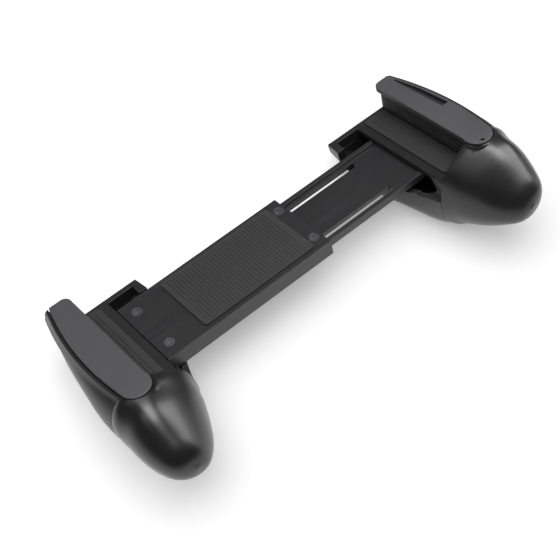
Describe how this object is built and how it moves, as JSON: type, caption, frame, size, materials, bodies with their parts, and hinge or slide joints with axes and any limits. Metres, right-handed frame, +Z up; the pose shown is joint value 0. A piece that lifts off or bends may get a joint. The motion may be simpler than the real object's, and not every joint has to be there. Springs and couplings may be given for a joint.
{
  "type": "controller phone clip",
  "caption": "Two-handled gaming grip that stretches along a telescopic bridge and clamps a phone by its short ends.",
  "frame": {"origin": "middle of the bounding box, on the surface that the clip lies on", "axes": "+X along the bridge towards the right grip, +Y away from the user's hands, +Z up; the jaws and the bridge lean back by 17.2 degrees, as the clip rests on its rear covers"},
  "size_m": [0.1886, 0.0842, 0.0422],
  "materials": {
    "plate": "fine-textured matt charcoal",
    "housing": "satin black moulded plastic",
    "horn": "semi-gloss black moulded plastic",
    "cover": "satin black moulded plastic",
    "bridge": "satin black moulded plastic",
    "slide": "smooth black low-friction plastic",
    "pad": "soft matt rubber",
    "screw": "black-oxide screw steel",
    "spring": "drawn spring wire"
  },
  "bodies": {
    "left_grip": {"left_jaw_plate": "plate", "left_jaw_housing": "housing", "left_horn_shell": "horn", "left_rear_cover": "cover", "left_cover_screws": "screw", "sleeve_screws": "screw", "lid_screws": "screw", "left_end_pad": "pad", "left_ledge_pad": "pad", "back_rest_pad": "pad", "bridge_sleeve": "bridge", "sleeve_lid": "bridge", "near_tension_spring": "spring", "far_tension_spring": "spring"},
    "right_grip": {"right_jaw_plate": "plate", "right_jaw_housing": "housing", "right_horn_shell": "horn", "right_rear_cover": "cover", "right_cover_screws": "screw", "right_end_pad": "pad", "right_ledge_pad": "pad", "bridge_slide": "slide", "slide_screws": "screw"}
  },
  "joints": [
    {"name": "bridge_slide_travel", "type": "slide", "parent": "left_grip", "child": "right_grip", "axis": [1, 0, 0], "range_m": [-0.038, 0.01], "deforming": ["near_tension_spring", "far_tension_spring"]}
  ]
}
